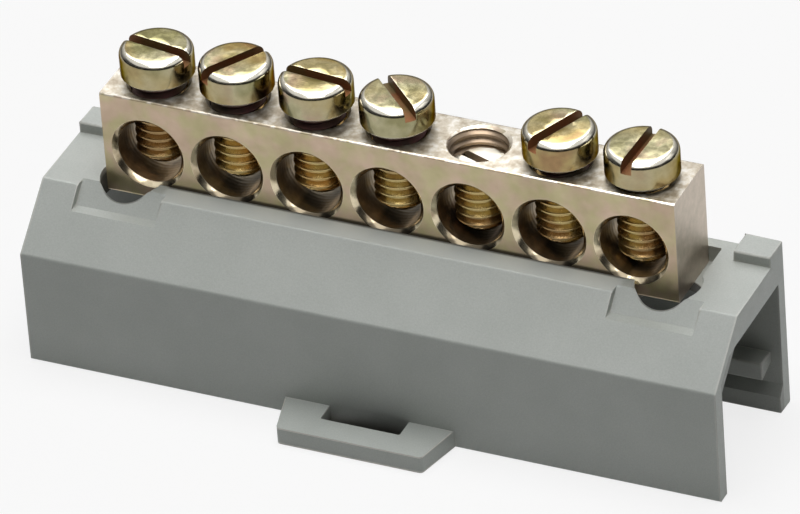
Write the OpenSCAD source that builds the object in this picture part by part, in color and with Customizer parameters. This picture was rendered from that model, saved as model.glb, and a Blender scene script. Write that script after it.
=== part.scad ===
// Terminal support for a small DIN rail: a moulded channel that snaps over the rail and carries
// a brass terminal bar with cross-drilled wire holes and slotted clamp screws.
// Millimetres. X runs along the rail, Y from front (pull tab) to back, Z up from the foot of the walls.
// The origin lies on the rail's centre line, at the level of the foot and half way along the support.

/* [Rail] */
// Width of the rail that the channel snaps over
rail_w = 15; // [13:0.5:20]
// Room left beside each edge of the rail
rail_gap = 0.2; // [0.1:0.05:0.5]

/* [Support] */
// Thickness of the front wall, the slope and the back wall
wall = 1.65; // [1.3:0.05:2.2]
// Height of the upright front wall
front_h = 13.2; // [11:0.2:18]
// Rise of the slope from the front wall to the flat top
slope_rise = 5.5; // [4.4:0.1:7]
// Width of the flat strip between the slope and the bar's groove
strip_w = 2.6; // [1.6:0.1:3.2]
// Plastic left under the bar's groove
floor_t = 1.2; // [0.9:0.1:2]
// Length of support beyond each end of the groove
end_land = 6; // [5.5:0.1:12]
// Rounding of the outer long edges
edge_r = 0.45; // [0.2:0.05:0.6]

/* [Groove and pockets] */
// Depth of the groove that the bar sits in
groove_depth = 1.9; // [1.2:0.1:2.6]
// Side clearance between the bar and its groove
bar_fit = 0.05; // [0.02:0.01:0.15]
// Free length at the right end of the groove, where the bar can be levered out
groove_play = 1.5; // [0.6:0.1:2]
// Clearance at the left end, which the bar lies against
groove_end_fit = 0.1; // [0.05:0.05:0.3]
// Width of the lead-in pocket in front of each bar end
pocket_w = 9.5; // [8.6:0.1:11]
// How far each pocket reaches past the end of the groove
pocket_over = 1.9; // [1:0.1:2.6]
// Depth of the pocket's foot below the flat top, where it runs out on the slope
pocket_drop = 1.9; // [1.2:0.1:2.4]
// Width of the flat foot of the pocket, which sets the pocket back into the slope
pocket_ledge = 1.2; // [0.6:0.1:1.5]
// Diameter of the hole through each pocket
hole_d = 7; // [5:0.1:8]
// Distance of that hole's centre behind the front edge of the groove
hole_back = 0.75; // [0:0.05:1.5]

/* [Corner stops] */
// Length of the raised stop at each back corner
stop_l = 4.1; // [2.5:0.1:5]
// Depth of the stop from the back face
stop_d = 3.3; // [2:0.1:5]
// Height of the stop above the flat top
stop_h = 1.2; // [0.6:0.1:2.5]

/* [Rail catches] */
// Reach of the catches under the rail's edges
catch_out = 0.8; // [0.4:0.1:1.4]
// Upright height of a catch, from the foot
catch_h = 2; // [1.4:0.1:2.6]
// Height over which a catch runs back into its wall
catch_ramp = 1.2; // [0.6:0.1:1.6]
// Length of the snap catch behind the pull tab
snap_l = 22; // [14:0.5:40]
// Height of the lead-in under the snap catch
snap_lead = 1; // [0.4:0.1:1.2]
// Reach of the ledge that bears on the rail
ledge_out = 2.4; // [1.5:0.1:3]
// Height of the ledge's lower lip above the foot
ledge_z = 4.9; // [4.6:0.1:6.5]
// Thickness of the ledge at its lip
ledge_t = 2.1; // [1.4:0.1:2.6]
// Rise of the ledge's underside from the lip to the wall
ledge_undercut = 0.7; // [0.2:0.1:1]
// Distance of the ledge from each end of the support
ledge_inset = 1.2; // [0.6:0.1:6]

/* [Pull tab] */
// Width of the tab where it leaves the wall
tab_root_w = 19; // [15:0.2:26]
// Width of the tab at its free edge
tab_tip_w = 16.2; // [13:0.2:22]
// Reach of the tab in front of the wall
tab_out = 5.3; // [4.4:0.1:8]
// Thickness of the tab
tab_t = 2; // [1.4:0.1:3]
// Width of the tool slot
tab_slot_w = 8.9; // [6:0.1:10]
// Depth of the tool slot, measured from the wall
tab_slot_d = 2.4; // [1.6:0.1:3]

/* [Terminal bar] */
// Distance between neighbouring wire holes
pitch = 9; // [8.6:0.1:12]
// Distance from the outermost wire hole to the bar's end
bar_margin = 5; // [4.5:0.1:8]
// Depth of the bar from front to back
bar_d = 7.9; // [7.5:0.1:9]
// Height of the bar
bar_h = 12; // [11.6:0.1:15]
// Small radius on the bar's long edges
bar_edge_r = 0.25; // [0.1:0.05:0.5]
// Diameter of the wire holes
wire_d = 7.2; // [6.4:0.1:7.6]
// Height of the wire holes above the bar's underside
wire_z = 5.45; // [4.8:0.05:5.8]
// Width of the chamfer round each wire hole
wire_chamfer = 0.5; // [0.2:0.05:0.55]
// Diameter of the tapped holes
tap_d = 6; // [4:0.1:6.2]
// Width of the chamfer at the top of each tapped hole
tap_chamfer = 0.4; // [0.1:0.05:0.6]

/* [Clamp screws] */
// Radial clearance of a screw in its tapped hole
screw_fit = 0.08; // [0.03:0.01:0.1]
// Mean height of the heads' undersides above the bar
screw_lift = 0.85; // [0.5:0.05:3]
// Mean height of the screws' tips above the floors of their wire holes
tip_gap = 1.1; // [0.95:0.05:1.6]
// Diameter of the head
head_d = 7.8; // [6.8:0.1:8.2]
// Height of the head
head_h = 3.4; // [2.6:0.1:4]
// Rounding of the head's upper edge
head_r = 0.9; // [0.3:0.1:1.2]
// Chamfer round the head's underside
head_chamfer = 0.35; // [0.1:0.05:0.5]
// Width of the driver slot
slot_w = 1.2; // [0.8:0.1:1.6]
// Depth of the driver slot
slot_d = 1.3; // [0.8:0.1:1.5]
// Chamfer at the tip of the shank
tip_chamfer = 1.2; // [0.9:0.1:1.6]

/* [Set screw] */
// Length of the headless screw in the fifth hole
set_l = 7.5; // [6:0.1:9]
// Height of its point above the floor of the wire hole
set_gap = 0.6; // [0.5:0.05:1]
// Diameter of the flat at its lower end, inside the end's chamfer
set_point_d = 3.4; // [2:0.1:3.6]
// Width of its driver slot
set_slot_w = 1; // [0.8:0.1:1.2]
// Depth of its driver slot
set_slot_d = 2; // [1.2:0.1:2.4]

/* [Hidden] */

$fn = 64;
poles = 7;
eps = 0.01;
cut = 1;
// How each screw was left: direction of its driver slot in degrees from X, and its height against the mean
slot_dir = [-9, 58, -6, 136, -20, 67, 88];
screw_rise = [0.2, 0.3, 0.3, 0.1, 0, -0.15, -0.45];

// Along X
bar_l = (poles - 1) * pitch + 2 * bar_margin;
groove_l = bar_l + groove_end_fit + groove_play;
support_l = groove_l + 2 * end_land;
bar_x = (groove_end_fit - groove_play) / 2;
pocket_x = groove_l / 2 + pocket_over - pocket_w / 2;

// Along Y
inner_w = rail_w + 2 * rail_gap;
front_y = -inner_w / 2 - wall;
back_y = inner_w / 2 + wall;
groove_back = inner_w / 2;
groove_front = groove_back - bar_d - 2 * bar_fit;
bar_y = groove_front + bar_fit;
bar_mid_y = bar_y + bar_d / 2;
slope_y = groove_front - strip_w;

// Along Z
top_z = front_h + slope_rise;
groove_z = top_z - groove_depth;
under_z = groove_z - floor_t;
bar_top = groove_z + bar_h;
wire_hole_z = groove_z + wire_z;
wire_floor_z = wire_hole_z - wire_d / 2;
head_z = bar_top + screw_lift;
screw_l = head_z - wire_floor_z - tip_gap;
shank_d = tap_d - 2 * screw_fit;

// The inside of the slope runs parallel to the outside, one wall thickness in
slope_run = slope_y - front_y;
slope_len = norm([slope_run, slope_rise]);
slope_in = wall * slope_len / slope_run;
function slope_out_z(y) = front_h + (y - front_y) * slope_rise / slope_run;
function slope_in_z(y) = slope_out_z(y) - slope_in;
function slope_in_y(z) = front_y + (z + slope_in - front_h) * slope_run / slope_rise;
function slope_out_y(z) = front_y + (z - front_h) * slope_run / slope_rise;

// Position of a wire hole along X, counted from the left
function pole_x(i) = bar_x + (i - (poles + 1) / 2) * pitch;

// Tangent points and centre of the round on corner p between its neighbours a and b
function unit(v) = v / norm(v);
function half_angle(a, p, b) = acos(unit(a - p) * unit(b - p)) / 2;
function tangent(p, q, t) = p + unit(q - p) * t;
function round_mid(a, p, b, r) = p + unit(unit(a - p) + unit(b - p)) * r / sin(half_angle(a, p, b));
function prev(pts, i) = pts[(i + len(pts) - 1) % len(pts)];
function next(pts, i) = pts[(i + 1) % len(pts)];

// Outline through pts whose convex corners are rounded by the radii in rad
module rounded_outline(pts, rad) {
    polygon([for (i = [0 : len(pts) - 1])
        let (t = rad[i] / tan(half_angle(prev(pts, i), pts[i], next(pts, i))))
        for (q = rad[i] > 0 ? [tangent(pts[i], prev(pts, i), t), tangent(pts[i], next(pts, i), t)] : [pts[i]])
            q]);
    for (i = [0 : len(pts) - 1])
        if (rad[i] > 0)
            translate(round_mid(prev(pts, i), pts[i], next(pts, i), rad[i]))
                circle(r = rad[i]);
}

// Runs a Y-Z outline along X over a length l, centred
module along_x(l) {
    translate([-l / 2, 0, 0])
        rotate([90, 0, 90])
            linear_extrude(height = l)
                children();
}

module outer_section() {
    rounded_outline(
        [[front_y, 0], [front_y + wall, 0], [front_y + wall, wall], [back_y - wall, wall], [back_y - wall, 0],
         [back_y, 0], [back_y, top_z], [slope_y, top_z], [front_y, front_h]],
        [edge_r / 2, 0, 0, 0, 0, edge_r / 2, edge_r, edge_r, edge_r]);
}

module channel_section() {
    polygon([[front_y + wall, -cut], [back_y - wall, -cut], [back_y - wall, under_z],
             [slope_in_y(under_z), under_z], [front_y + wall, slope_in_z(front_y + wall)]]);
}

// A catch on the back wall; the snap catch is its mirror image with a lead-in below
module catch_section(lead) {
    polygon([[back_y - wall + eps, 0], [back_y - wall - (lead > 0 ? 0 : catch_out), 0],
             [back_y - wall - catch_out, lead], [back_y - wall - catch_out, catch_h],
             [back_y - wall + eps, catch_h + catch_ramp]]);
}

module ledge_section() {
    polygon([[back_y - wall + eps, ledge_z + ledge_undercut], [back_y - wall - ledge_out, ledge_z],
             [back_y - wall - ledge_out, ledge_z + ledge_t], [back_y - wall + eps, ledge_z + ledge_t]]);
}

// Recess in the slope: a flat foot, then a face that runs up to the flat top parallel to the slope
module pocket_section() {
    foot_z = top_z - pocket_drop;
    foot_y = slope_out_y(foot_z);
    polygon([[foot_y - cut, foot_z], [foot_y + pocket_ledge, foot_z], [slope_y + pocket_ledge, top_z],
             [slope_y + pocket_ledge, top_z + cut], [foot_y - cut, top_z + cut]]);
}

module pull_tab() {
    difference() {
        linear_extrude(height = tab_t)
            rounded_outline(
                [[-tab_root_w / 2, front_y + eps], [-tab_tip_w / 2, front_y - tab_out],
                 [tab_tip_w / 2, front_y - tab_out], [tab_root_w / 2, front_y + eps]],
                [0, edge_r, edge_r, 0]);
        translate([-tab_slot_w / 2, front_y - tab_slot_d, -cut])
            cube([tab_slot_w, tab_slot_d, tab_t + 2 * cut]);
    }
}

// Raised block flush with the back face, reaching down past the rounded edge there
module corner_stop() {
    translate([support_l / 2 - stop_l, back_y - stop_d, top_z - edge_r])
        cube([stop_l, stop_d, stop_h + edge_r]);
}

module support() {
    color([0.56, 0.58, 0.57])
        difference() {
            union() {
                difference() {
                    along_x(support_l) outer_section();
                    along_x(support_l + 2 * cut) channel_section();
                    translate([-groove_l / 2, groove_front, groove_z])
                        cube([groove_l, bar_d + 2 * bar_fit, groove_depth + cut]);
                    for (s = [-1, 1])
                        translate([s * pocket_x, 0, 0])
                            along_x(pocket_w) pocket_section();
                }
                along_x(support_l) catch_section(0);
                along_x(support_l - 2 * ledge_inset) ledge_section();
                mirror([0, 1, 0]) along_x(snap_l) catch_section(snap_lead);
                pull_tab();
                corner_stop();
                mirror([1, 0, 0]) corner_stop();
            }
            for (s = [-1, 1])
                translate([s * pocket_x, groove_front + hole_back, under_z - cut])
                    cylinder(d = hole_d, h = top_z - under_z + 2 * cut);
        }
}

module wire_hole() {
    rotate([-90, 0, 0]) {
        translate([0, 0, -cut])
            cylinder(d = wire_d, h = bar_d + 2 * cut);
        translate([0, 0, -eps])
            cylinder(d1 = wire_d + 2 * (wire_chamfer + eps), d2 = wire_d, h = wire_chamfer + eps);
        translate([0, 0, bar_d - wire_chamfer])
            cylinder(d1 = wire_d, d2 = wire_d + 2 * (wire_chamfer + eps), h = wire_chamfer + eps);
    }
}

module tapped_hole() {
    translate([0, 0, wire_hole_z])
        cylinder(d = tap_d, h = bar_top - wire_hole_z + cut);
    translate([0, 0, bar_top - tap_chamfer])
        cylinder(d1 = tap_d, d2 = tap_d + 2 * (tap_chamfer + eps), h = tap_chamfer + eps);
}

module terminal_bar() {
    color([0.80, 0.74, 0.60])
        difference() {
            translate([bar_x, 0, 0])
                along_x(bar_l)
                    rounded_outline(
                        [[bar_y, groove_z], [bar_y + bar_d, groove_z], [bar_y + bar_d, bar_top], [bar_y, bar_top]],
                        [bar_edge_r, bar_edge_r, bar_edge_r, bar_edge_r]);
            for (i = [1 : poles]) {
                translate([pole_x(i), bar_y, wire_hole_z])
                    wire_hole();
                translate([pole_x(i), bar_mid_y, 0])
                    tapped_hole();
            }
        }
}

// Half section of a cheese head: chamfered below, well rounded above
module head_profile() {
    polygon([[0, 0], [head_d / 2 - head_chamfer, 0], [head_d / 2, head_chamfer], [head_d / 2, head_h - head_r],
             [head_d / 2 - head_r, head_h], [0, head_h]]);
    translate([head_d / 2 - head_r, head_h - head_r])
        circle(r = head_r);
}

// Driver slot of hole i's screw, cut down from height z
module driver_slot(i, w, d, z) {
    rotate([0, 0, slot_dir[i - 1]])
        translate([-head_d, -w / 2, z - d])
            cube([2 * head_d, w, d + cut]);
}

// Shank of length l that stands on its tip, with a flat of diameter tip_d there
module shank(l, tip_d) {
    cone_h = (shank_d - tip_d) / 2;
    cylinder(d1 = tip_d, d2 = shank_d, h = cone_h);
    translate([0, 0, cone_h])
        cylinder(d = shank_d, h = l - cone_h);
}

// Slotted cheese-head screw in hole i
module clamp_screw(i) {
    color([0.78, 0.70, 0.45])
        translate([pole_x(i), bar_mid_y, head_z + screw_rise[i - 1]]) {
            difference() {
                rotate_extrude()
                    head_profile();
                driver_slot(i, slot_w, slot_d, head_h);
            }
            translate([0, 0, -screw_l])
                shank(screw_l + eps, shank_d - 2 * tip_chamfer);
        }
}

// Headless slotted screw, turned down until its cone point is just clear of the wire hole's floor
module set_screw(i) {
    color([0.78, 0.70, 0.45])
        translate([pole_x(i), bar_mid_y, wire_floor_z + set_gap])
            difference() {
                shank(set_l, set_point_d);
                driver_slot(i, set_slot_w, set_slot_d, set_l);
            }
}

module clamp_screw_1() { clamp_screw(1); }
module clamp_screw_2() { clamp_screw(2); }
module clamp_screw_3() { clamp_screw(3); }
module clamp_screw_4() { clamp_screw(4); }
module set_screw_5() { set_screw(5); }
module clamp_screw_6() { clamp_screw(6); }
module clamp_screw_7() { clamp_screw(7); }

support();
terminal_bar();
clamp_screw_1();
clamp_screw_2();
clamp_screw_3();
clamp_screw_4();
set_screw_5();
clamp_screw_6();
clamp_screw_7();
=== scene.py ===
"""Looks of the rail terminal support: threaded screws, softened edges, moulded plastic and plated metal.

Sizes are written in millimetres, as in the part's source, and become metres where a mesh is made.
The studio round the object is written in metres.
"""

import math

import bmesh
import bpy
from mathutils import Matrix, Vector

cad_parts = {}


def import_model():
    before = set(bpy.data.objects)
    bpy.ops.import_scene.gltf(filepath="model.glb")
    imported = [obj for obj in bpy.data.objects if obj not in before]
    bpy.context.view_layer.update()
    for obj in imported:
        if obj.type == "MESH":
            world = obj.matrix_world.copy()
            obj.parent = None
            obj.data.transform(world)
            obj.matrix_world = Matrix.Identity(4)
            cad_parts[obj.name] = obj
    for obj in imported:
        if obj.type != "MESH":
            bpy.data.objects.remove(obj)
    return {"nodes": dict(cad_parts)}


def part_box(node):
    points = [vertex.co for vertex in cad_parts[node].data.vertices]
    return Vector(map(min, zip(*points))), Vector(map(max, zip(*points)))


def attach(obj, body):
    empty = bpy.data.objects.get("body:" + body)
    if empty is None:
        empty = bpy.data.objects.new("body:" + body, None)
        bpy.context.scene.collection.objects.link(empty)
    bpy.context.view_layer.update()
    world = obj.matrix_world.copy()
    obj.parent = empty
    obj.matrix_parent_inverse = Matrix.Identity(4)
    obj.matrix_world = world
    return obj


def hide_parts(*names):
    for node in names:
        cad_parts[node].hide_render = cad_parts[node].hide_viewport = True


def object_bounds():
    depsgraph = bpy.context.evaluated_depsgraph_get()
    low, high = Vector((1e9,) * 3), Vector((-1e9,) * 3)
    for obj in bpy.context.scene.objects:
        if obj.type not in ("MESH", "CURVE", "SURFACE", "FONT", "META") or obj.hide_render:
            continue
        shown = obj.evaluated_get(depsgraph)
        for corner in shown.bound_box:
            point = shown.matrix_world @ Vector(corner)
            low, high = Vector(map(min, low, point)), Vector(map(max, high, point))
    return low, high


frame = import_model()
cad_low, cad_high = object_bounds()

MM = 0.001

# Camera, solved from the photograph
IMAGE_W = 800
SENSOR_W = 36.0
FOCAL_PX = 8958.87
CAMERA_AZIMUTH = 26.457
CAMERA_ELEVATION = 34.334
CAMERA_ROLL = -4.355
CAMERA_DISTANCE = 915.88
CAMERA_TARGET = (0.2, 0.0, 15.435)
CLIP_NEAR_M = 0.05
CLIP_FAR_M = 20

# Screws, as in the part's source
HEAD_H = 3.4
HEAD_R = 3.9
HEAD_ROUND = 0.9
HEAD_CHAMFER = 0.35
SHANK_R = 2.92
TIP_CHAMFER = 1.2
SLOT_W = 1.2
SLOT_D = 1.3
SET_POINT_R = 1.7
SET_SLOT_W = 1.0
SET_SLOT_D = 2.0
SET_SCREW = 5
SLOT_DIRECTIONS = (-9, 58, -6, 136, -20, 67, 88)

# Screw meshes
HEAD_AROUND = 96
HEAD_STEPS = 8
UNDER_HEAD_R = SHANK_R - 0.3
TOP_RING_R = 0.5 * (HEAD_R - HEAD_ROUND)
THREAD_IN_HEAD = 0.25
SET_TOP_CHAMFER = 0.35
SLOT_SOFT = 0.08
SMOOTH_ANGLE = 35

# Finishes by a screw's material index, 0 being its head or end; the rim's finish paints a highlight and the
# neck's paints shade
SLOT_FINISH, THREAD_FINISH, RIM_HIGHLIGHT_FINISH, NECK_SHADE_FINISH = 1, 2, 3, 4
RIM_H = HEAD_CHAMFER + 0.06
SEAT_MARGIN = 0.02
SET_PLAIN_TOP = 0.45
NECK_IN_BAR = 0.6
SLOT_MARGIN = 0.01
SLOT_LIP = 0.12
LEVEL = 0.98
FACING = 0.9

# Threads
PITCH = 1.0
THREAD_DEPTH = 0.56
CREST_SHARE = 0.07
ROOT_SHARE = 0.10
RUNOUT = 1.4
RUNOUT_KEEP = 0.3
END_SLIDE = 1.4
END_REACH = END_SLIDE + 0.1
END_CENTRE = 0.03
AROUND = 72
ROWS_PER_TURN = 12

# Bar, as in the part's source
HOLE_PITCH = 9.0
HOLE_X = -0.7
HOLE_Z = 22.25
HOLE_R = 3.6
HOLE_CHAMFER = 0.5
HOLE_ROW = 3.5 * HOLE_PITCH
BAR_TOP = 28.8
TAPPED_R = 3.0
OPEN_TAPPED_X = HOLE_X + HOLE_PITCH
OPEN_TAPPED_Y = 3.7

# Thread of the open tapped hole
TAPPED_GROOVE = 0.36
TAP_MARGIN = 0.05
TAPPED_LOW = 23.4
TAPPED_HIGH = 29.4

# Support, rounded from the part's source
GROOVE_TOP = 18.7
GROOVE_FRONT = -0.3
STRIP_FRONT = GROOVE_FRONT - 2.6
FRONT_Y = -9.35
TAB_SLOT_HALF = 4.45
TAB_SLOT_FRONT = FRONT_Y - 2.4
POCKET_X = 29.95
POCKET_Y = 0.45
POCKET_HALF = 4.75
POCKET_R = 3.5
CHANNEL_HALF = 7.7
CHANNEL_TOP = 15.6
SLOPE = 0.853
# Height of the middle of the slope's wall, carried on to y = 0
SLOPE_MIDDLE = 20.09

# Rounded edges of the CAD nodes
SUPPORT_ROUND = 0.18
SUPPORT_EDGE_ANGLE = 50
BAR_ROUND = 0.10
EDGE_ANGLE = 32
EDGE_SEGMENTS = 2
FLAT_ANGLE = 0.3
SLIVER = 0.001

# Widths over which one finish fades into another
FINE = 0.1
SOFT = 0.2
POCKET_FADE = 0.5
BAR_SHADE_D = 7.0

# Reach of the painted shade and painted light; what lies between the pockets ends a little inside them
POCKET_OVERLAP = 0.6
BETWEEN_POCKETS = POCKET_X - POCKET_HALF + POCKET_OVERLAP
SHADE_LINE_W = 0.36
SHADE_LINE_CORE = 0.14
SLOT_SHADE_FULL = 0.4
SLOT_SHADE_TOP = 1.9
BAR_FOOT_SHADE_H = 0.25
BAR_EDGE_H = 0.45

# Shares of the painted shade and of the strip's painted light
STRIP_LIGHT_SHARE = 0.8
PAINTED_SHADE_SHARE = 0.85
CHANNEL_SHARE = 0.4
SLOT_SHADE_SHARE = 0.9

# Parts of a normal along one axis between which a finish fades in or out
END_FACING = (0.75, 0.9)
TOP_FACING = (0.6, 0.9)
EDGE_LOWER = (0.15, 0.35)
EDGE_UPPER = (0.8, 0.95)
SHOULDER_LOWER = (0.3, 0.6)
SHOULDER_UPPER = (0.95, 0.99)

# Roughness
PLASTIC_ROUGH = (0.42, 0.58)
BAR_ROUGH = (0.36, 0.50)
COUNTERSINK_ROUGH = 0.17
BORE_ROUGH = 0.33
ZINC_ROUGH = (0.12, 0.22)
FILM_ROUGH_RANGE = 0.12
FLOOR_ROUGH = 0.9

# Rings that the drill left in the wire holes
DRILL_RINGS = 0.6
DRILL_WAVER = 1.5
DRILL_STRENGTH = 0.35

# Colours, linear RGB
PLASTIC_GREYS = ((0.400, 0.424, 0.396), (0.432, 0.456, 0.428))
# The next two colours paint highlights: the first on the support's rounded edges, the second on the pull
# tab's edges
EDGE_HIGHLIGHT_GREYS = ((0.45, 0.46, 0.43), (0.52, 0.53, 0.49))
TAB_EDGE_HIGHLIGHT = (0.66, 0.65, 0.60)
PLASTIC_SPECKS = ((0.93, 0.93, 0.93), (1.05, 1.05, 1.05))
# Paler grey that paints light on the strip in front of the bar, where the bar shades it
STRIP_PAINTED_LIGHT = (0.54, 0.57, 0.55)
# Near black that paints shade in the gap at the bar's foot, the pocket holes, the channel and the tool
# slot's foot
SUPPORT_PAINTED_SHADE = (0.070, 0.066, 0.050)
BAR_FRONT = ((0.45, 0.37, 0.245), (0.59, 0.485, 0.345))
BAR_CAST = ((0.95, 1.02, 0.88), (1.05, 0.98, 1.06))
BAR_SAWN = ((0.46, 0.40, 0.32), (0.61, 0.53, 0.45))
BAR_UPPER = ((0.27, 0.23, 0.175), (0.37, 0.335, 0.275), (0.50, 0.48, 0.44))
# Darkening that paints shade on the bar's top towards its back
BAR_TOP_BACK_SHADE = (0.7, 0.7, 0.7)
# Dark bore colour: bare drilled metal, darkened further as painted shade
BORE = ((0.22, 0.18, 0.13), (0.36, 0.29, 0.20))
TURNED = ((0.36, 0.29, 0.19), (0.70, 0.61, 0.43))
# Painted highlight along the bar top's rounded edges
BAR_EDGE_HIGHLIGHT = (0.80, 0.74, 0.64)
# Cut thread of the open tapped hole, darkened further as painted shade
TAPPED = (0.20, 0.15, 0.105)
# Painted shade along the bar's foot, where it meets the support
BAR_FOOT_SHADE = (0.12, 0.10, 0.07)
ZINC_GOLD = ((0.31, 0.20, 0.10), (0.39, 0.30, 0.135), (0.41, 0.35, 0.20), (0.32, 0.27, 0.13))
ZINC_GREEN = ((0.28, 0.26, 0.135), (0.41, 0.38, 0.24), (0.39, 0.285, 0.205))
ZINC_SHADES = ((0.90, 0.90, 0.90), (1.04, 1.04, 1.04))
# Silvery colour that paints a highlight band on the heads' rounded shoulders
ZINC_SHOULDER_HIGHLIGHT = (0.60, 0.57, 0.49)
ZINC_GLANCING = (0.22, 0.17, 0.09, 1.0)
BROWN_SLOT = ((0.15, 0.095, 0.035), (0.19, 0.075, 0.03), (0.14, 0.10, 0.045))
WORN_END = ((0.70, 0.66, 0.56), (0.78, 0.76, 0.70), (0.66, 0.60, 0.48))
BROWN_THREAD = ((0.50, 0.33, 0.13), (0.50, 0.40, 0.18), (0.36, 0.24, 0.11))
# Near white: a painted highlight on the head's lower rim
PAINTED_RIM_HIGHLIGHT = ((0.86, 0.83, 0.70), (0.92, 0.90, 0.80), (0.82, 0.76, 0.60))
# Near black: painted shade on the neck under the head
PAINTED_NECK_SHADE = ((0.06, 0.035, 0.03), (0.075, 0.035, 0.035), (0.05, 0.04, 0.03))
DULL_SLOT = ((0.50, 0.42, 0.32), (0.56, 0.47, 0.37), (0.46, 0.39, 0.29))

# Studio, in metres
LIGHT_TARGET = (0, 0, 0.015)
FLOOR_HALF = 3.0
FLOOR_GAP = 0.00005
FLOOR_BOUNCE = (0.76, 0.76, 0.76)
FLOOR_PALE = (0.9, 0.9, 0.9)
FLOOR_GLOW = 0.8
WALL_AROUND = 36
WALL_R = 1.5
WALL_FRONT_H = 0.85
WALL_BACK_H = 1.2
WALL_DARK = 0.10
WALL_LIGHT = 1.0
WALL_FOOT = 0.2
WALL_FADE_FROM = 0.2
WALL_FADE_TO = 0.8
WALL_SIDE = 0.3
WALL_BACK = 0.95


def deg(angle):
    return math.radians(angle)


# Meshes

def link(obj):
    bpy.context.scene.collection.objects.link(obj)
    return obj


def mesh_object(name, bm):
    bmesh.ops.recalc_face_normals(bm, faces=bm.faces)
    mesh = bpy.data.meshes.new(name)
    bm.to_mesh(mesh)
    bm.free()
    return link(bpy.data.objects.new(name, mesh))


def on_circle(axis_x, axis_y, z, radius, angle):
    """A point, in metres, at this angle round an upright axis."""
    return Vector((axis_x + radius * math.cos(angle), axis_y + radius * math.sin(angle), z)) * MM


def circle(axis_x, axis_y, z, radius, count):
    turn = 2 * math.pi / count
    return [on_circle(axis_x, axis_y, z, radius, k * turn) for k in range(count)]


def add_rings(bm, rings):
    """Joins rings of equally many points into one surface and closes its ends with a fan."""
    loops = [[bm.verts.new(p) for p in ring] for ring in rings]
    count = len(loops[0])
    for low, high in zip(loops, loops[1:]):
        for k in range(count):
            n = (k + 1) % count
            bm.faces.new((low[k], low[n], high[n], high[k]))
    for loop in (loops[0], loops[-1]):
        centre = bm.verts.new(sum((v.co for v in loop), Vector()) / count)
        for k in range(count):
            bm.faces.new((loop[k], loop[(k + 1) % count], centre))


def evaluated(obj):
    """The object's mesh with its modifiers applied; the object itself is removed."""
    graph = bpy.context.evaluated_depsgraph_get()
    mesh = bpy.data.meshes.new_from_object(obj.evaluated_get(graph))
    bpy.data.objects.remove(obj)
    return mesh


def cut(obj, cutter, name):
    boolean = obj.modifiers.new(name, "BOOLEAN")
    boolean.operation = "DIFFERENCE"
    boolean.solver = "EXACT"
    boolean.object = cutter


def soften(obj, width, angle=EDGE_ANGLE):
    """Rounds the edges that are sharper than this angle."""
    bevel = obj.modifiers.new("softened_edges", "BEVEL")
    bevel.width = width * MM
    bevel.segments = EDGE_SEGMENTS
    bevel.limit_method = "ANGLE"
    bevel.angle_limit = deg(angle)
    return bevel


def weld(obj):
    """Merges points that lie together, so that no face is left without an area."""
    obj.modifiers.new("weld", "WELD").merge_threshold = SLIVER * MM


def refine(obj, width, angle=EDGE_ANGLE):
    """Softens the edges of a CAD node with modifiers; its own mesh stays as packed."""
    weld(obj)
    flat = obj.modifiers.new("flat_faces", "DECIMATE")
    flat.decimate_type = "DISSOLVE"
    flat.angle_limit = deg(FLAT_ANGLE)
    return soften(obj, width, angle)


def smooth(mesh):
    for polygon in mesh.polygons:
        polygon.use_smooth = True
    mesh.set_sharp_from_angle(angle=deg(SMOOTH_ANGLE))


# Threads

def thread_depth_at(share):
    """Share of the thread's depth at this part of a turn: 0 on the crest, 1 in the root."""
    away = min(share, 1.0 - share)
    return min(max((away - CREST_SHARE) / (0.5 - ROOT_SHARE - CREST_SHARE), 0.0), 1.0)


def end_limit(past, end_r, root_r):
    """Largest radius near a rod's end: a 45 degree chamfer before it, and inwards over the flat past it."""
    if past < 0:
        return end_r - past
    return min(end_r, root_r) * max(END_CENTRE, 1 - past / (END_REACH * PITCH))


def add_thread(bm, axis_x, axis_y, low, high, low_r, high_r, crest_r, depth, fade=0.0):
    """A threaded rod whose rows of points climb with its right-handed helix, cut off flat at both ends.

    Rows past an end slide in over the flat, so the thread runs out there as on a turned screw.
    """
    first = low - END_SLIDE * PITCH
    rows = math.ceil((high - low + (2 * END_SLIDE - 1) * PITCH) / PITCH * ROWS_PER_TURN)
    root_r = crest_r - depth
    columns = []
    for k in range(AROUND):
        angle = 2 * math.pi * k / AROUND
        column = []
        for row in range(rows + 1):
            z = first + PITCH * (k / AROUND + row / ROWS_PER_TURN)
            keep = min(1.0, max(RUNOUT_KEEP, (high - z) / fade)) if fade else 1.0
            radius = crest_r - depth * keep * thread_depth_at(row % ROWS_PER_TURN / ROWS_PER_TURN)
            radius = min(radius, end_limit(low - z, low_r, root_r), end_limit(z - high, high_r, root_r))
            column.append(bm.verts.new(on_circle(axis_x, axis_y, min(max(z, low), high), radius, angle)))
        columns.append(column)
    for here, beside in zip(columns, columns[1:]):
        for row in range(rows):
            bm.faces.new((here[row], beside[row], beside[row + 1], here[row + 1]))
    start, last = columns[0], columns[-1]
    for row in range(rows - ROWS_PER_TURN):
        above = row + ROWS_PER_TURN
        bm.faces.new((last[row], start[above], start[above + 1], last[row + 1]))
    bm.faces.new([c[0] for c in columns] + start[ROWS_PER_TURN:0:-1])
    bm.faces.new([c[rows] for c in columns] + last[rows - 1:rows - ROWS_PER_TURN - 1:-1])


def tap():
    """A tap that cuts the open tapped hole's thread into the bar."""
    bm = bmesh.new()
    root = TAPPED_R + TAPPED_GROOVE
    depth = TAPPED_GROOVE + TAP_MARGIN
    add_thread(bm, OPEN_TAPPED_X, OPEN_TAPPED_Y, TAPPED_LOW, TAPPED_HIGH, root, root, root, depth)
    obj = mesh_object("tap", bm)
    obj.hide_render = True
    return obj


# Screws

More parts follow.
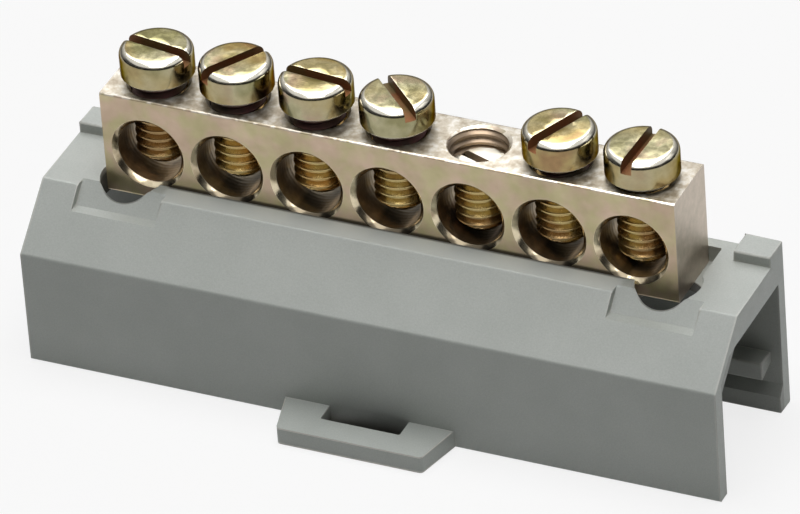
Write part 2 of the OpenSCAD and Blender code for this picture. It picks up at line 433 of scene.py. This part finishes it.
def node_axis(node):
    """Axis and height of a screw's CAD node, in millimetres."""
    low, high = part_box(node)
    return (low.x + high.x) / 2 / MM, (low.y + high.y) / 2 / MM, low.z / MM, high.z / MM


def head_profile(low, high):
    """Points (radius, height) of a head from its underside to its top, round its rim."""
    points = [(UNDER_HEAD_R, low), (HEAD_R - HEAD_CHAMFER, low), (HEAD_R, low + HEAD_CHAMFER)]
    for step in range(HEAD_STEPS + 1):
        a = deg(90) * step / HEAD_STEPS
        radius = HEAD_R - HEAD_ROUND + HEAD_ROUND * math.cos(a)
        points.append((radius, high - HEAD_ROUND + HEAD_ROUND * math.sin(a)))
    points.append((TOP_RING_R, high))
    return points


def slot_cutter(axis_x, axis_y, top, direction, width, depth):
    bm = bmesh.new()
    bmesh.ops.create_cube(bm, size=1.0)
    size = Matrix.Diagonal((4 * HEAD_R * MM, width * MM, 2 * depth * MM, 1.0))
    place = Matrix.Translation(Vector((axis_x, axis_y, top)) * MM)
    turn = Matrix.Rotation(deg(direction), 4, "Z")
    bmesh.ops.transform(bm, matrix=place @ turn @ size, verts=bm.verts)
    return mesh_object("slot_cutter", bm)


def slotted(obj, cutter, soft=0.0):
    """The object's mesh with a screwdriver slot in it; the object and the cutter are removed."""
    cut(obj, cutter, "slot")
    if soft:
        soften(obj, soft)
    mesh = evaluated(obj)
    bpy.data.objects.remove(cutter)
    bm = bmesh.new()
    bm.from_mesh(mesh)
    bpy.data.meshes.remove(mesh)
    return bm


def mark_finishes(mesh, x, y, top, direction, width, depth, shank_top, rim_h=0.0):
    """Sets the finishes of the slot and the threads and, under a head, of its lower rim, which paints a
    highlight, and of the neck, which paints shade.
    """
    across = Vector((-math.sin(deg(direction)), math.cos(deg(direction)), 0))
    for polygon in mesh.polygons:
        centre = polygon.center / MM - Vector((x, y, top))
        above = centre.z - (shank_top - top)
        if above < 0 and abs(polygon.normal.z) < LEVEL:
            is_neck = rim_h and centre.z + top > BAR_TOP - NECK_IN_BAR
            polygon.material_index = NECK_SHADE_FINISH if is_neck else THREAD_FINISH
        elif 0 <= above < rim_h:
            polygon.material_index = RIM_HIGHLIGHT_FINISH
        in_width = abs(centre.dot(across)) < width / 2 + SLOT_MARGIN
        if in_width and -depth - SLOT_MARGIN < centre.z < -SLOT_LIP:
            if abs(polygon.normal.dot(across)) > FACING or polygon.normal.z > FACING:
                polygon.material_index = SLOT_FINISH


def clamp_screw(node, name, direction):
    x, y, low, high = node_axis(node)
    seat = high - HEAD_H
    bm = bmesh.new()
    add_rings(bm, [circle(x, y, z, r, HEAD_AROUND) for r, z in head_profile(seat, high)])
    head = mesh_object(name + "_head", bm)
    bm = slotted(head, slot_cutter(x, y, high, direction, SLOT_W, SLOT_D), SLOT_SOFT)
    bmesh.ops.dissolve_degenerate(bm, dist=SLIVER * MM, edges=bm.edges)
    thread_top = seat + THREAD_IN_HEAD
    add_thread(bm, x, y, low, thread_top, SHANK_R - TIP_CHAMFER, SHANK_R, SHANK_R, THREAD_DEPTH, RUNOUT)
    piece = mesh_object(name, bm)
    mark_finishes(piece.data, x, y, high, direction, SLOT_W, SLOT_D, seat - SEAT_MARGIN, RIM_H)
    return piece


def set_screw(node, name, direction):
    x, y, low, high = node_axis(node)
    bm = bmesh.new()
    add_thread(bm, x, y, low, high, SET_POINT_R, SHANK_R - SET_TOP_CHAMFER, SHANK_R, THREAD_DEPTH)
    body = mesh_object(name + "_body", bm)
    bm = slotted(body, slot_cutter(x, y, high, direction, SET_SLOT_W, SET_SLOT_D))
    piece = mesh_object(name, bm)
    mark_finishes(piece.data, x, y, high, direction, SET_SLOT_W, SET_SLOT_D, high - SET_PLAIN_TOP)
    return piece


# Shader nodes

def shader(name):
    material = bpy.data.materials.new(name)
    material.use_nodes = True
    tree = material.node_tree
    bsdf = next(n for n in tree.nodes if n.type == "BSDF_PRINCIPLED")
    return material, tree, bsdf


def surface(tree):
    """The socket that takes a material's finished shader."""
    return next(n for n in tree.nodes if n.type == "OUTPUT_MATERIAL").inputs["Surface"]


def connect(tree, socket, value):
    """Links an output to a socket, or sets the socket to a number or a colour."""
    if isinstance(value, bpy.types.NodeSocket):
        tree.links.new(value, socket)
    elif isinstance(value, tuple):
        socket.default_value = (*value, 1.0)
    else:
        socket.default_value = value


def object_place(tree):
    return tree.nodes.new("ShaderNodeTexCoord").outputs["Object"]


def separate(tree, vector):
    node = tree.nodes.new("ShaderNodeSeparateXYZ")
    tree.links.new(vector, node.inputs[0])
    return node.outputs


def facing(tree):
    """Components of the surface's normal."""
    return separate(tree, tree.nodes.new("ShaderNodeNewGeometry").outputs["Normal"])


def noise(tree, scale, detail=3.0, roughness=0.55, stretch=None):
    """Noise in the object's own frame; scale is in features per millimetre."""
    texture = tree.nodes.new("ShaderNodeTexNoise")
    texture.inputs["Scale"].default_value = scale / MM
    texture.inputs["Detail"].default_value = detail
    texture.inputs["Roughness"].default_value = roughness
    source = object_place(tree)
    if stretch:
        mapping = tree.nodes.new("ShaderNodeMapping")
        mapping.inputs["Scale"].default_value = stretch
        tree.links.new(source, mapping.inputs["Vector"])
        source = mapping.outputs["Vector"]
    tree.links.new(source, texture.inputs["Vector"])
    return texture.outputs["Fac"]


def ramp(tree, source, colours, places=(0.3, 0.7)):
    """Colours that blend from one place on the source's scale to the next."""
    node = tree.nodes.new("ShaderNodeValToRGB")
    elements = node.color_ramp.elements
    while len(elements) < len(colours):
        elements.new(0.5)
    for element, place, colour in zip(elements, places, colours):
        element.position = place
        element.color = (*colour, 1.0)
    tree.links.new(source, node.inputs["Fac"])
    return node.outputs["Color"]


def spread(tree, source, low, high, from_low=0.3, from_high=0.7):
    node = tree.nodes.new("ShaderNodeMapRange")
    node.inputs["From Min"].default_value = from_low
    node.inputs["From Max"].default_value = from_high
    connect(tree, node.inputs["To Min"], low)
    connect(tree, node.inputs["To Max"], high)
    tree.links.new(source, node.inputs["Value"])
    return node.outputs["Result"]


def rises(tree, source, start, end, most=1.0):
    """A mask that is 0 up to the start and most from the end on."""
    return spread(tree, source, 0.0, most, start, end)


def falls(tree, source, start, end, most=1.0):
    """A mask that is most up to the start and 0 from the end on."""
    return spread(tree, source, most, 0.0, start, end)


def switched(tree, mask, off, on):
    """One number where the mask is 0, another where it is 1."""
    return spread(tree, mask, off, on, 0.0, 1.0)


def mixed(tree, factor, a, b, blend="MIX"):
    node = tree.nodes.new("ShaderNodeMix")
    node.data_type = "RGBA"
    node.blend_type = blend
    for socket, value in ((node.inputs[0], factor), (node.inputs[6], a), (node.inputs[7], b)):
        connect(tree, socket, value)
    return node.outputs[2]


def tinted(tree, colour, tint):
    return mixed(tree, 1.0, colour, tint, "MULTIPLY")


def math_node(tree, operation, a, b=0.0):
    node = tree.nodes.new("ShaderNodeMath")
    node.operation = operation
    connect(tree, node.inputs[0], a)
    connect(tree, node.inputs[1], b)
    return node.outputs[0]


def chain(tree, operation, first, *others):
    """The operation on all the values in turn."""
    for other in others:
        first = math_node(tree, operation, first, other)
    return first


def product(tree, *masks):
    return chain(tree, "MULTIPLY", *masks)


def either(tree, *masks):
    return chain(tree, "MAXIMUM", *masks)


def absolute(tree, value):
    return math_node(tree, "ABSOLUTE", value)


def distance(tree, a, b):
    """Length of the vector with these two components."""
    squares = math_node(tree, "ADD", product(tree, a, a), product(tree, b, b))
    return math_node(tree, "SQRT", squares)


def place_mm(tree):
    """Places along the row, towards the back and upwards, in millimetres."""
    place = separate(tree, object_place(tree))
    return [math_node(tree, "DIVIDE", place[axis], MM) for axis in "XYZ"]


def bump(tree, height, strength, depth, below=None):
    node = tree.nodes.new("ShaderNodeBump")
    node.inputs["Distance"].default_value = depth * MM
    connect(tree, node.inputs["Strength"], strength)
    tree.links.new(height, node.inputs["Height"])
    if below is not None:
        tree.links.new(below, node.inputs["Normal"])
    return node.outputs["Normal"]


# Materials

def strip_painted_light(tree, along, depth, rise):
    """Mask of the flat strip in front of the bar, between the pockets, where a paler grey paints light into
    the bar's shade.
    """
    return product(tree, rises(tree, depth, STRIP_FRONT - SOFT, STRIP_FRONT + SOFT),
                   rises(tree, rise, GROOVE_TOP - SOFT, GROOVE_TOP - FINE),
                   falls(tree, depth, GROOVE_FRONT, GROOVE_FRONT + FINE, STRIP_LIGHT_SHARE),
                   falls(tree, absolute(tree, along), BETWEEN_POCKETS - POCKET_FADE, BETWEEN_POCKETS))


def plastic_painted_shade(tree, along, depth, rise):
    """Mask of the painted shade on the support: darker in the gap at the bar's foot, the pocket holes, the
    channel and the tool slot's foot.
    """
    beside = absolute(tree, along)
    # Painted shade in the narrow gap along the bar's foot
    line_start = GROOVE_FRONT - SHADE_LINE_W
    line = product(tree, rises(tree, depth, line_start, GROOVE_FRONT - SHADE_LINE_CORE, PAINTED_SHADE_SHARE),
                   falls(tree, depth, GROOVE_FRONT + FINE, GROOVE_FRONT + SOFT),
                   rises(tree, rise, GROOVE_TOP - 3 * SOFT, GROOVE_TOP - 2 * SOFT),
                   falls(tree, beside, BETWEEN_POCKETS - POCKET_FADE, BETWEEN_POCKETS))
    # Painted shade in the hole of each end pocket
    out = distance(tree, math_node(tree, "SUBTRACT", beside, POCKET_X),
                   math_node(tree, "SUBTRACT", depth, POCKET_Y))
    inside = product(tree, falls(tree, out, POCKET_R + 0.5 * FINE, POCKET_R + 1.5 * FINE, PAINTED_SHADE_SHARE),
                     falls(tree, rise, GROOVE_TOP - 4 * SOFT, GROOVE_TOP - 2 * SOFT))
    # Painted shade in the channel, under its roof and under the slope
    below_slope = math_node(tree, "SUBTRACT", rise, math_node(tree, "MULTIPLY", depth, SLOPE))
    channel_side = CHANNEL_HALF + 0.5 * FINE
    under = product(tree,
                    falls(tree, absolute(tree, depth), channel_side, channel_side + FINE, CHANNEL_SHARE),
                    falls(tree, rise, CHANNEL_TOP - SOFT, CHANNEL_TOP),
                    falls(tree, below_slope, SLOPE_MIDDLE - FINE, SLOPE_MIDDLE + FINE))
    # Painted shade at the foot of the pull tab's tool slot
    slot_shade = product(tree, falls(tree, beside, TAB_SLOT_HALF, TAB_SLOT_HALF + FINE, SLOT_SHADE_SHARE),
                        falls(tree, depth, FRONT_Y + 0.2 * FINE, FRONT_Y + FINE),
                        rises(tree, depth, TAB_SLOT_FRONT, TAB_SLOT_FRONT + FINE),
                        falls(tree, rise, SLOT_SHADE_FULL, SLOT_SHADE_TOP))
    return either(tree, line, slot_shade, inside, under)


def grey_plastic(name, greys, tab=None):
    """Moulded plastic between two greys; the pull tab may have a colour of its own. Given the paler edge
    greys, it paints a highlight on the rounded edges, a brighter one on the tab's.
    """
    material, tree, bsdf = shader(name)
    grain = noise(tree, 6.0, detail=2.0)
    colour = ramp(tree, noise(tree, 0.16, detail=2.0), greys)
    colour = tinted(tree, colour, ramp(tree, grain, PLASTIC_SPECKS))
    along, depth, rise = place_mm(tree)
    # Painted light on the strip in front of the bar
    colour = mixed(tree, strip_painted_light(tree, along, depth, rise), colour, STRIP_PAINTED_LIGHT)
    if tab:
        colour = mixed(tree, falls(tree, depth, FRONT_Y - 4 * FINE, FRONT_Y - 3 * FINE), colour, tab)
    # Painted shade in the foot gap, the pocket holes, the channel and the tool slot
    colour = mixed(tree, plastic_painted_shade(tree, along, depth, rise), colour, SUPPORT_PAINTED_SHADE)
    connect(tree, bsdf.inputs["Base Color"], colour)
    connect(tree, bsdf.inputs["Roughness"], spread(tree, noise(tree, 1.3), *PLASTIC_ROUGH))
    waves = bump(tree, noise(tree, 0.5, detail=1.0), strength=0.25, depth=0.05)
    connect(tree, bsdf.inputs["Normal"], bump(tree, grain, strength=0.28, depth=0.025, below=waves))
    bsdf.inputs["Specular IOR Level"].default_value = 0.5
    return material


def bar_metal():
    """Pale plated brass: warm on the drawn front and back, mottled on the top, dark in the drilled holes.
    Painted shade darkens the top towards its back, the holes and the foot, and a painted highlight lines the
    top's edges.
    """
    material, tree, bsdf = shader("plated_brass")
    bsdf.inputs["Metallic"].default_value = 1.0
    along, depth, rise = place_mm(tree)
    normal = facing(tree)
    mottle = noise(tree, 1.1, roughness=0.6)

    # Drawn front and back, sawn ends and top
    front = ramp(tree, noise(tree, 0.22, detail=4.0), BAR_FRONT)
    front = tinted(tree, front, ramp(tree, noise(tree, 0.35, detail=2.0), BAR_CAST, (0.38, 0.62)))
    endward = rises(tree, absolute(tree, normal["X"]), *END_FACING)
    front = mixed(tree, endward, front, ramp(tree, mottle, BAR_SAWN))
    top = ramp(tree, mottle, BAR_UPPER, (0.32, 0.5, 0.66))
    # Painted shade: the top is darker towards its back
    top = mixed(tree, rises(tree, depth, 0.0, BAR_SHADE_D), top, tinted(tree, top, BAR_TOP_BACK_SHADE))
    upward = rises(tree, normal["Z"], *TOP_FACING)
    colour = mixed(tree, upward, front, top)

    # Wire holes, by the distance from the nearest one's axis; the bore is bare drilled metal, darkened
    # further as painted shade
    from_middle = math_node(tree, "SUBTRACT", along, HOLE_X)
    away = distance(tree, math_node(tree, "PINGPONG", from_middle, HOLE_PITCH / 2),
                    math_node(tree, "SUBTRACT", rise, HOLE_Z))
    in_hole = falls(tree, away, HOLE_R + 0.2 * FINE, HOLE_R + 0.8 * FINE)
    countersink_r = HOLE_R + HOLE_CHAMFER
    countersunk = product(tree, falls(tree, absolute(tree, from_middle), HOLE_ROW, HOLE_ROW + 0.5 * FINE),
                          falls(tree, away, countersink_r, countersink_r + 0.6 * FINE))
    turned = ramp(tree, noise(tree, 0.5, detail=2.0), TURNED, (0.40, 0.58))
    colour = mixed(tree, countersunk, colour, turned)
    colour = mixed(tree, in_hole, colour, ramp(tree, mottle, BORE))

    # Painted highlight: a bright broken line along the top's rounded edges
    edge = product(tree, rises(tree, normal["Z"], *EDGE_LOWER), falls(tree, normal["Z"], *EDGE_UPPER),
                   rises(tree, rise, BAR_TOP - BAR_EDGE_H, BAR_TOP - BAR_EDGE_H + 0.5 * FINE),
                   rises(tree, noise(tree, 0.75, detail=2.0), 0.46, 0.54))
    colour = mixed(tree, edge, colour, BAR_EDGE_HIGHLIGHT)

    # Dark thread of the open tapped hole: cut metal, darkened further as painted shade
    out = distance(tree, math_node(tree, "SUBTRACT", along, OPEN_TAPPED_X),
                   math_node(tree, "SUBTRACT", depth, OPEN_TAPPED_Y))
    tapped = product(tree, falls(tree, out, TAPPED_R + 4 * FINE, TAPPED_R + 4.4 * FINE),
                     falls(tree, rise, BAR_TOP - BAR_EDGE_H, BAR_TOP - BAR_EDGE_H + 1.5 * FINE))
    colour = mixed(tree, tapped, colour, TAPPED)

    # Painted shade along the foot, between the pockets, where the bar meets the support
    foot_shade = product(tree, falls(tree, rise, GROOVE_TOP + BAR_FOOT_SHADE_H, GROOVE_TOP + 2 * BAR_FOOT_SHADE_H),
                    falls(tree, absolute(tree, along), BETWEEN_POCKETS - 3 * FINE, BETWEEN_POCKETS))
    connect(tree, bsdf.inputs["Base Color"], mixed(tree, foot_shade, colour, BAR_FOOT_SHADE))

    rough = switched(tree, countersunk, spread(tree, mottle, *BAR_ROUGH), COUNTERSINK_ROUGH)
    rough = switched(tree, either(tree, in_hole, tapped), rough, BORE_ROUGH)
    connect(tree, bsdf.inputs["Roughness"], rough)
    drawn = noise(tree, 2.2, detail=2.0, stretch=(0.05, 1.0, 1.0))
    lines = bump(tree, drawn, strength=0.14, depth=0.02)
    grained = bump(tree, mottle, switched(tree, upward, 0.10, 0.5), depth=0.05, below=lines)
    rings = tree.nodes.new("ShaderNodeTexWave")
    rings.bands_direction = "Y"
    rings.inputs["Scale"].default_value = DRILL_RINGS / MM
    rings.inputs["Distortion"].default_value = DRILL_WAVER
    connect(tree, rings.inputs["Vector"], object_place(tree))
    ring_strength = math_node(tree, "MULTIPLY", in_hole, DRILL_STRENGTH)
    drilled = bump(tree, rings.outputs["Fac"], ring_strength, depth=0.03, below=grained)
    connect(tree, bsdf.inputs["Normal"], drilled)
    return material


def screw_metal():
    """Zinc with a yellow film that turns greenish in places, and a painted highlight on the head's rounded
    shoulder.
    """
    material, tree, bsdf = shader("yellow_passivated_zinc")
    bsdf.inputs["Metallic"].default_value = 1.0
    film = noise(tree, 0.20, detail=2.5, roughness=0.6)
    fine = noise(tree, 1.6, detail=2.0)
    yellow = ramp(tree, film, ZINC_GOLD, (0.34, 0.45, 0.56, 0.66))
    green = ramp(tree, film, ZINC_GREEN, (0.36, 0.52, 0.64))
    colour = mixed(tree, rises(tree, noise(tree, 0.11, detail=1.0), 0.42, 0.58), yellow, green)
    colour = tinted(tree, colour, ramp(tree, fine, ZINC_SHADES))
    # Painted highlight: the head's rounded shoulder, picked by its upward-facing normal, is silvery so that
    # it shows a white band
    upward = facing(tree)["Z"]
    shoulder = product(tree, rises(tree, upward, *SHOULDER_LOWER), falls(tree, upward, *SHOULDER_UPPER))
    connect(tree, bsdf.inputs["Base Color"], mixed(tree, shoulder, colour, ZINC_SHOULDER_HIGHLIGHT))
    connect(tree, bsdf.inputs["Roughness"], spread(tree, fine, *ZINC_ROUGH))
    bsdf.inputs["Specular Tint"].default_value = ZINC_GLANCING
    waves = bump(tree, noise(tree, 0.33, detail=1.0), strength=0.8, depth=0.16)
    connect(tree, bsdf.inputs["Normal"], bump(tree, fine, strength=0.10, depth=0.03, below=waves))
    return material


def filmed_metal(name, colours, rough, metallic=0.9, gloss=0.5):
    """Metal with a thin uneven film, as in the slots, on the threads and on the set screw's worn end; the
    same recipe paints a highlight on a head's lower rim and shade on its neck.
    """
    material, tree, bsdf = shader(name)
    bsdf.inputs["Metallic"].default_value = metallic
    bsdf.inputs["Specular IOR Level"].default_value = gloss
    connect(tree, bsdf.inputs["Base Color"], ramp(tree, noise(tree, 0.13), colours, (0.38, 0.5, 0.6)))
    connect(tree, bsdf.inputs["Roughness"], spread(tree, noise(tree, 1.2), rough, rough + FILM_ROUGH_RANGE))
    connect(tree, bsdf.inputs["Normal"], bump(tree, noise(tree, 3.0), strength=0.08, depth=0.03))
    return material


def dress(obj, *materials):
    if obj.data.materials:
        obj.data.materials.clear()
    for material in materials:
        obj.data.materials.append(material)


# Pieces

def dress_support(support):
    dress(support, grey_plastic("grey_plastic", PLASTIC_GREYS),
          grey_plastic("plastic_edge_highlight", EDGE_HIGHLIGHT_GREYS, TAB_EDGE_HIGHLIGHT))
    rounding = refine(support, SUPPORT_ROUND, SUPPORT_EDGE_ANGLE)
    # The bevel faces take the paler edge material, which paints a highlight along the rounded edges
    rounding.material = 1
    # Unclamped, because one short edge would hold the whole rounding back
    rounding.use_clamp_overlap = False
    # Lengths along the edges keep spikes off the corners
    rounding.offset_type = "ABSOLUTE"
    rounding.miter_outer = "MITER_ARC"
    weld(support)
    support.modifiers.new("level_shading", "WEIGHTED_NORMAL").keep_sharp = True


def dress_bar(bar):
    dress(bar, bar_metal())
    refine(bar, BAR_ROUND)
    cut(bar, tap(), "tapped_hole")
    weld(bar)


def add_screws():
    thread = filmed_metal("brown_thread", BROWN_THREAD, 0.18)
    worn_end = filmed_metal("worn_end", WORN_END, 0.42)
    dull_slot = filmed_metal("dull_slot", DULL_SLOT, 0.4)
    brown_slot = filmed_metal("brown_slot", BROWN_SLOT, 0.45, metallic=0.3, gloss=0.1)
    # A painted highlight for the heads' lower rims and painted shade for their necks
    painted_rim_highlight = filmed_metal("painted_rim_highlight", PAINTED_RIM_HIGHLIGHT, 0.3)
    painted_neck_shade = filmed_metal("painted_neck_shade", PAINTED_NECK_SHADE, 0.4)
    set_finishes = (worn_end, dull_slot, thread)
    clamp_finishes = (screw_metal(), brown_slot, thread, painted_rim_highlight, painted_neck_shade)
    for number, direction in enumerate(SLOT_DIRECTIONS, 1):
        if number == SET_SCREW:
            kind, make, finishes = "set_screw", set_screw, set_finishes
        else:
            kind, make, finishes = "clamp_screw", clamp_screw, clamp_finishes
        node = f"{kind}_{number}"
        piece = make(node, node + "_threaded", direction)
        smooth(piece.data)
        dress(piece, *finishes)
        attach(piece, f"screw_{number}")
        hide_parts(node)


# Studio

def towards(azimuth, elevation):
    """Unit vector from the object; azimuth 0 points to the front, 180 to the back."""
    a, e = deg(azimuth), deg(elevation)
    return Vector((math.sin(a) * math.cos(e), -math.cos(a) * math.cos(e), math.sin(e)))


def camera():
    a, r = deg(CAMERA_AZIMUTH), deg(CAMERA_ROLL)
    right = Vector((math.cos(a), math.sin(a), 0))
    back = towards(CAMERA_AZIMUTH, CAMERA_ELEVATION)
    up = back.cross(right)
    turned_right = math.cos(r) * right + math.sin(r) * up
    turned_up = -math.sin(r) * right + math.cos(r) * up
    data = bpy.data.cameras.new("camera")
    data.sensor_width = SENSOR_W
    data.lens = FOCAL_PX * SENSOR_W / IMAGE_W
    data.clip_start = CLIP_NEAR_M
    data.clip_end = CLIP_FAR_M
    obj = link(bpy.data.objects.new("camera", data))
    turn = Matrix((turned_right, turned_up, back)).transposed().to_4x4()
    obj.matrix_world = Matrix.Translation((Vector(CAMERA_TARGET) + back * CAMERA_DISTANCE) * MM) @ turn
    bpy.context.scene.camera = obj


def softbox(name, azimuth, elevation, away, size, radiance, lights_matt=True):
    """A rectangular area light that looks at the object.

    One that doesn't light matt surfaces is a reflector, which shows only as gloss.
    """
    back = towards(azimuth, elevation)
    data = bpy.data.lights.new(name, "AREA")
    data.shape = "RECTANGLE"
    data.size, data.size_y = size
    data.energy = radiance * math.pi * size[0] * size[1]
    obj = link(bpy.data.objects.new(name, data))
    obj.location = Vector(LIGHT_TARGET) + back * away
    obj.rotation_mode = "QUATERNION"
    obj.rotation_quaternion = back.to_track_quat("Z", "Y")
    obj.visible_camera = False
    obj.visible_diffuse = lights_matt


def seen_directly(tree):
    """1 for the camera's rays and in reflections, 0 for the light that falls on matt surfaces."""
    rays = tree.nodes.new("ShaderNodeLightPath").outputs
    return either(tree, rays["Is Camera Ray"], rays["Is Transmission Ray"], rays["Is Glossy Ray"])


def world(fill):
    """White for the camera and in reflections; soft fill for the rest."""
    made = bpy.data.worlds.new("studio")
    bpy.context.scene.world = made
    made.use_nodes = True
    tree = made.node_tree
    background = next(n for n in tree.nodes if n.type == "BACKGROUND")
    background.inputs["Color"].default_value = (1, 1, 1, 1)
    connect(tree, background.inputs["Strength"], switched(tree, seen_directly(tree), fill, 1.0))


def studio_wall():
    """The dim room round the white table, which only polished metal shows: high behind, low in front."""
    bm = bmesh.new()
    low, high = [], []
    for k in range(WALL_AROUND):
        a = 2 * math.pi * k / WALL_AROUND
        behind = 0.5 - 0.5 * math.cos(a - deg(CAMERA_AZIMUTH))
        height = WALL_FRONT_H + (WALL_BACK_H - WALL_FRONT_H) * behind
        foot = Vector((math.sin(a), -math.cos(a), 0)) * WALL_R
        low.append(bm.verts.new(foot))
        high.append(bm.verts.new(foot + Vector((0, 0, height))))
    for k in range(WALL_AROUND):
        n = (k + 1) % WALL_AROUND
        bm.faces.new((low[k], low[n], high[n], high[k]))
    obj = mesh_object("studio_wall", bm)
    material, tree, _ = shader("dim_wall")
    place = separate(tree, object_place(tree))
    a = deg(CAMERA_AZIMUTH)
    depth = math_node(tree, "ADD", math_node(tree, "MULTIPLY", place["X"], -math.sin(a) / WALL_R),
                      math_node(tree, "MULTIPLY", place["Y"], math.cos(a) / WALL_R))
    glow = tree.nodes.new("ShaderNodeEmission")
    strength = product(tree, spread(tree, place["Z"], WALL_FOOT, 1.0, WALL_FADE_FROM, WALL_FADE_TO),
                       spread(tree, depth, WALL_DARK, WALL_LIGHT, WALL_SIDE, WALL_BACK))
    connect(tree, glow.inputs["Strength"], strength)
    connect(tree, surface(tree), glow.outputs[0])
    dress(obj, material)
    obj.visible_camera = obj.visible_diffuse = obj.visible_shadow = obj.visible_transmission = False


def shader_mix(tree, factor, a, b):
    node = tree.nodes.new("ShaderNodeMixShader")
    for socket, value in zip(node.inputs, (factor, a, b)):
        connect(tree, socket, value)
    return node.outputs[0]


def floor():
    """Pale and near white where it is seen, darker for the light that it throws back on the object."""
    bm = bmesh.new()
    bmesh.ops.create_grid(bm, x_segments=1, y_segments=1, size=FLOOR_HALF)
    obj = mesh_object("floor", bm)
    obj.location.z = cad_low.z - FLOOR_GAP
    material, tree, bsdf = shader("pale_floor")
    connect(tree, bsdf.inputs["Base Color"], FLOOR_BOUNCE)
    bsdf.inputs["Roughness"].default_value = FLOOR_ROUGH
    bsdf.inputs["Specular IOR Level"].default_value = 0.0
    pale = tree.nodes.new("ShaderNodeBsdfDiffuse")
    connect(tree, pale.inputs["Color"], FLOOR_PALE)
    glow = tree.nodes.new("ShaderNodeEmission")
    lit = shader_mix(tree, FLOOR_GLOW, pale.outputs[0], glow.outputs[0])
    connect(tree, surface(tree), shader_mix(tree, seen_directly(tree), bsdf.outputs[0], lit))
    dress(obj, material)


nodes = frame["nodes"]
dress_support(nodes["support"])
dress_bar(nodes["terminal_bar"])
add_screws()
camera()
softbox("overhead_softbox", azimuth=206, elevation=86, away=0.75, size=(0.62, 0.52), radiance=4.7)
softbox("front_reflector", azimuth=26, elevation=69, away=0.8, size=(0.60, 0.75), radiance=4.4,
        lights_matt=False)
softbox("back_reflector", azimuth=206, elevation=55.5, away=0.8, size=(0.70, 0.47), radiance=4.4,
        lights_matt=False)
softbox("right_fill", azimuth=128, elevation=35, away=0.9, size=(0.45, 0.40), radiance=0.8)
world(fill=0.08)
studio_wall()
floor()
bpy.context.scene.view_settings.view_transform = "Standard"
